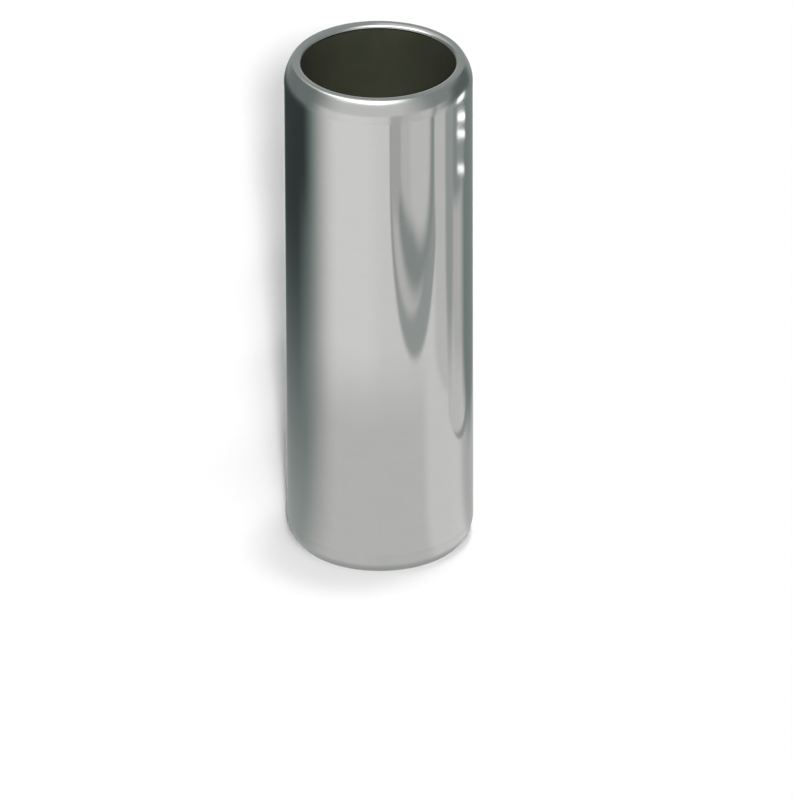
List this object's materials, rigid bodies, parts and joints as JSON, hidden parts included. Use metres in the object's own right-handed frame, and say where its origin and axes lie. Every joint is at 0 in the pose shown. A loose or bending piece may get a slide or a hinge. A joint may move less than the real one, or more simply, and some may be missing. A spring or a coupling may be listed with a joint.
{
  "type": "gudgeon pin",
  "caption": "Hollow polished steel pin with rounded ends and a plain through bore, the wrist joint between an engine's piston and the small end of its connecting rod.",
  "frame": {"origin": "centre of the lower end face, on the pin's axis", "axes": "+Z along the pin's axis, from the lower end face to the upper one; X and Y are free, because the pin is round"},
  "size_m": [0.016, 0.016, 0.0455],
  "materials": {
    "pin_steel": "case hardened, ground and polished outside, with a darker bore as drawn"
  },
  "bodies": {
    "root": {"gudgeon_pin": "pin_steel"}
  },
  "joints": []
}
